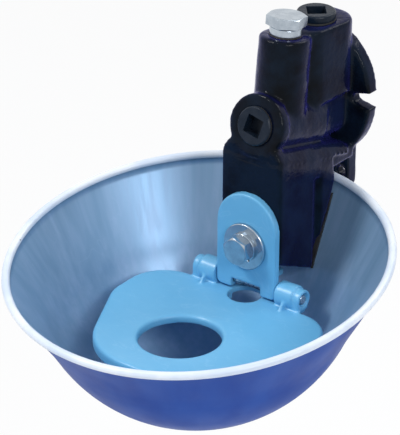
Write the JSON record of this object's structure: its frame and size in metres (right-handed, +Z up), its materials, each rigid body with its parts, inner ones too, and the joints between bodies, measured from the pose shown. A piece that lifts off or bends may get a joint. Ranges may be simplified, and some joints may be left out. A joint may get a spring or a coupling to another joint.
{
  "type": "livestock drinking bowl",
  "caption": "Enamelled drinking bowl for livestock with a cast valve housing above its back rim and a hinged paddle that opens the water valve when it is pressed.",
  "frame": {"origin": "centre of the rear inlet at the mounting flange's back face", "axes": "+X along the paddle's hinge, +Y towards the wall, +Z up"},
  "size_m": [0.26, 0.2829, 0.254],
  "materials": {
    "bowl_enamel": "gloss enamel",
    "cast_enamel": "gloss enamel over cast iron",
    "plug_black": "black coated malleable iron",
    "paddle_blue": "satin moulded plastic",
    "zinc_steel": "bright zinc plating",
    "stainless": "turned stainless",
    "brass": "turned brass",
    "rubber_black": "matt"
  },
  "bodies": {
    "frame": {"bowl": "bowl_enamel", "bowl_gasket": "rubber_black", "bowl_bolts": "zinc_steel", "bowl_bolt_washers": "zinc_steel", "valve_housing": "cast_enamel", "front_plug": "plug_black", "front_plug_seal": "rubber_black", "top_plug": "plug_black", "top_plug_seal": "rubber_black", "regulator_gland": "zinc_steel", "gland_seal": "rubber_black", "spindle_o_ring": "rubber_black", "inlet_strainer": "stainless", "valve_insert": "brass", "valve_insert_seal": "rubber_black", "valve_insert_cap": "stainless", "hinge_bracket": "paddle_blue", "bracket_washer": "zinc_steel", "bracket_spring_washer": "zinc_steel", "bracket_bolt": "zinc_steel", "hinge_pin": "stainless", "valve_spring": "stainless"},
    "paddle": {"paddle": "paddle_blue"},
    "valve_stem": {"valve_stem": "stainless", "valve_seat_rubber": "rubber_black"},
    "regulating_screw": {"regulating_screw": "zinc_steel"},
    "throttle": {"throttle_plunger": "brass"}
  },
  "joints": [
    {"name": "paddle_hinge", "type": "hinge", "parent": "frame", "child": "paddle", "pos_m": [0, -0.0962, -0.1105], "axis": [1, 0, 0], "range_deg": [0, 9]},
    {"name": "stem_lift", "type": "slide", "parent": "frame", "child": "valve_stem", "axis": [0, 0, 1], "range_m": [0, 0.0037], "stiffness_N_per_m": 1500, "springref_m": -0.01, "deforming": ["valve_spring"]},
    {"name": "regulator_turn", "type": "hinge", "parent": "frame", "child": "regulating_screw", "pos_m": [0, -0.061, 0.0583], "axis": [0, 0.1045, 0.9945], "range_deg": [0, 1080]},
    {"name": "throttle_travel", "type": "slide", "parent": "frame", "child": "throttle", "axis": [0, -0.1045, -0.9945], "range_m": [0, 0.009]}
  ],
  "couplings": [
    {"joint": "stem_lift", "follows": "paddle_hinge", "m_per_rad": 0.0232},
    {"joint": "regulator_turn", "follows": "throttle_travel", "rad_per_m": 2094.4}
  ]
}
